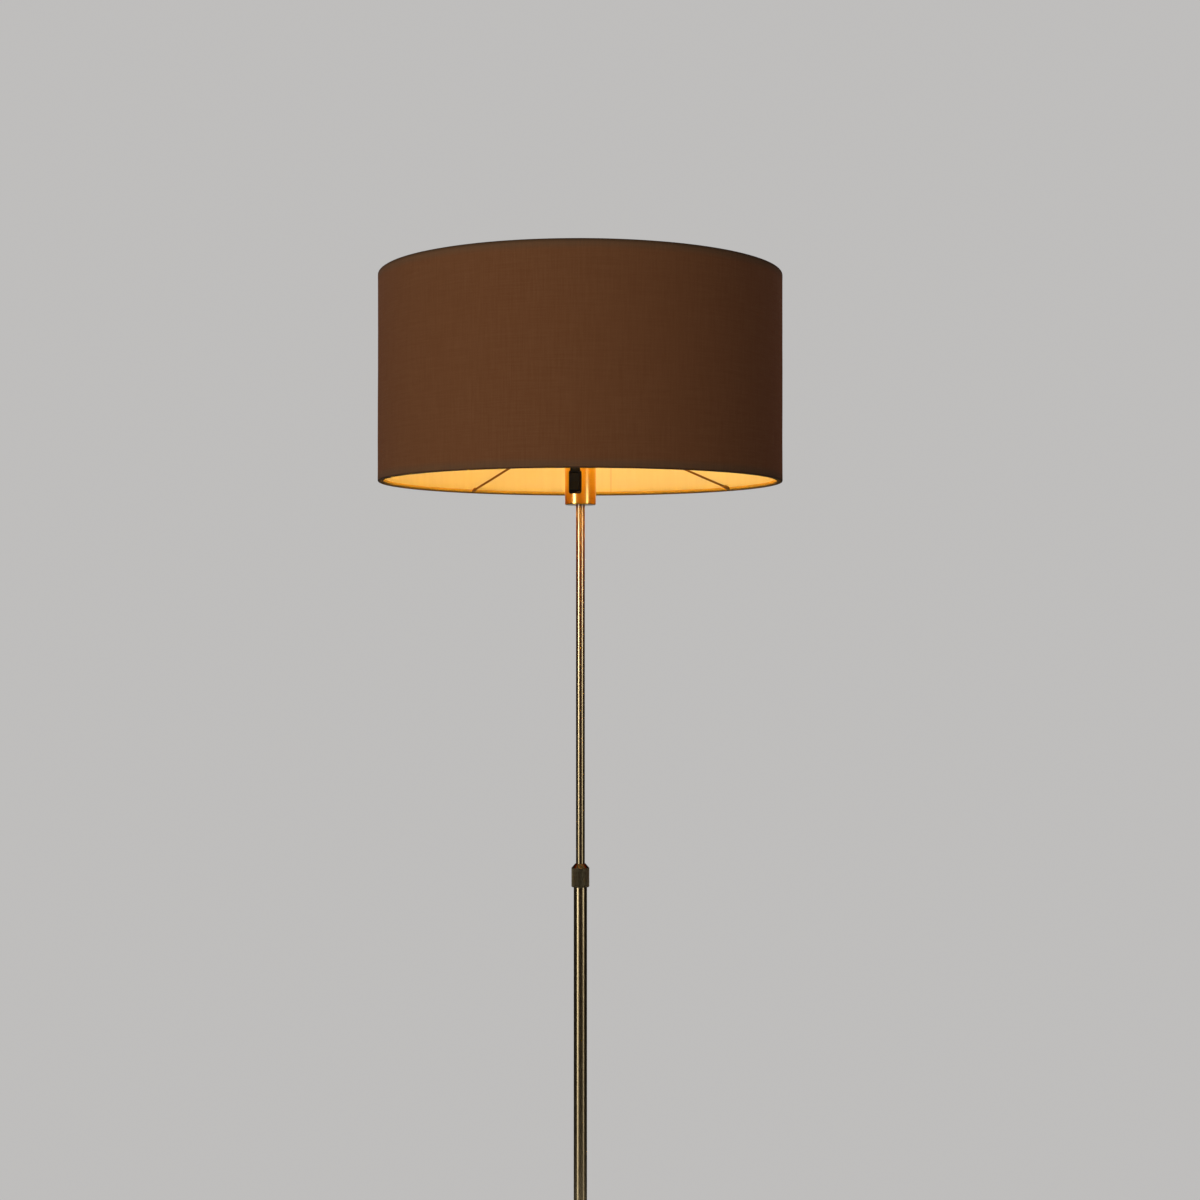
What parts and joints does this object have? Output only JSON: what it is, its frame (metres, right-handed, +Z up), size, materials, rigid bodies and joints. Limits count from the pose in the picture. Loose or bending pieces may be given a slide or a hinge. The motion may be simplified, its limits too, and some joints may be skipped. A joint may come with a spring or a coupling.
{
  "type": "adjustable floor lamp",
  "caption": "Floor lamp with a fabric drum shade, a brass cup lampholder with a rocker switch and a telescopic stem held by a knurled clamp nut on a round weighted base.",
  "frame": {"origin": "on the floor below the middle of the round base, at the foot of the stem's axis", "axes": "+Z up along the stem, -Y towards the front from which the picture looks, +X to its right"},
  "size_m": [0.45, 0.45, 1.5597],
  "materials": {
    "satin_brass": "satin",
    "turned_brass": "turned",
    "zinc_steel": "zinc plated",
    "cast_iron": "raw",
    "rubber": "matte",
    "black_plastic": "moulded",
    "nylon": "natural",
    "porcelain": "unglazed",
    "shade_cloth": "woven",
    "shade_lining": "matte",
    "shade_wire": "white coated",
    "opal_glass": "opal",
    "nickel": "nickel plated",
    "black_glass": "opaque"
  },
  "bodies": {
    "base": {"base_cover": "satin_brass", "base_weight": "cast_iron", "base_plate": "zinc_steel", "plate_screws": "zinc_steel", "base_feet": "rubber", "base_stud": "zinc_steel", "base_washer": "zinc_steel", "base_nut": "zinc_steel", "tube_plug": "zinc_steel", "stem_foot": "satin_brass", "cord_gland": "black_plastic", "outer_tube": "satin_brass", "clamp_ferrule": "turned_brass"},
    "collet": {"clamp_collet": "nylon"},
    "clamp_nut": {"lock_nut": "satin_brass"},
    "guide": {"guide_bush": "nylon"},
    "stem": {"inner_tube": "satin_brass", "bush_clip": "zinc_steel", "stem_end_plug": "turned_brass", "holder_cup": "satin_brass", "holder_nut": "zinc_steel", "switch_housing": "black_plastic", "switch_bezel": "black_plastic", "rocker_pin": "zinc_steel", "switch_terminals": "turned_brass", "contact_blade": "turned_brass", "terminal_block": "porcelain", "terminal_screws": "zinc_steel", "centre_contact": "turned_brass", "screw_shell": "turned_brass", "holder_skirt": "black_plastic"},
    "rocker": {"switch_rocker": "black_plastic"},
    "shade": {"shade_fabric": "shade_cloth", "shade_liner": "shade_lining", "shade_bottom_wire": "shade_wire", "shade_top_wire": "shade_wire", "shade_seam": "shade_cloth", "spider_ring": "shade_wire", "spider_arms": "shade_wire"},
    "shade_nut": {"shade_ring": "black_plastic"},
    "bulb": {"bulb_globe": "opal_glass", "bulb_cap": "nickel", "bulb_insulator": "black_glass", "bulb_contact": "nickel"}
  },
  "joints": [
    {"name": "collet_lift", "type": "slide", "parent": "base", "child": "collet", "axis": [0, 0, 1], "range_m": [0, 0.001]},
    {"name": "clamp_turn", "type": "hinge", "parent": "collet", "child": "clamp_nut", "pos_m": [0, 0, 0.892], "axis": [0, 0, 1], "range_deg": [0, 361]},
    {"name": "stem_slide", "type": "slide", "parent": "base", "child": "guide", "axis": [0, 0, 1], "range_m": [-0.395, 0.1]},
    {"name": "stem_turn", "type": "hinge", "parent": "guide", "child": "stem", "pos_m": [0, 0, 0.74], "axis": [0, 0, 1], "range_deg": [-175, 175]},
    {"name": "switch_rock", "type": "hinge", "parent": "stem", "child": "rocker", "pos_m": [-0.00439, -0.01144, 1.33], "axis": [0.9336, -0.3584, 0], "range_deg": [0, 14]},
    {"name": "shade_turn", "type": "hinge", "parent": "stem", "child": "shade", "pos_m": [0, 0, 1.3897], "axis": [0, 0, 1], "continuous": true},
    {"name": "shade_ring_turn", "type": "hinge", "parent": "stem", "child": "shade_nut", "pos_m": [0, 0, 1.394], "axis": [0, 0, 1], "range_deg": [0, 90]},
    {"name": "bulb_out", "type": "slide", "parent": "stem", "child": "bulb", "axis": [0, 0, 1], "range_m": [0, 0.2]}
  ],
  "couplings": [
    {"joint": "clamp_turn", "follows": "collet_lift", "rad_per_m": 6283.2}
  ]
}
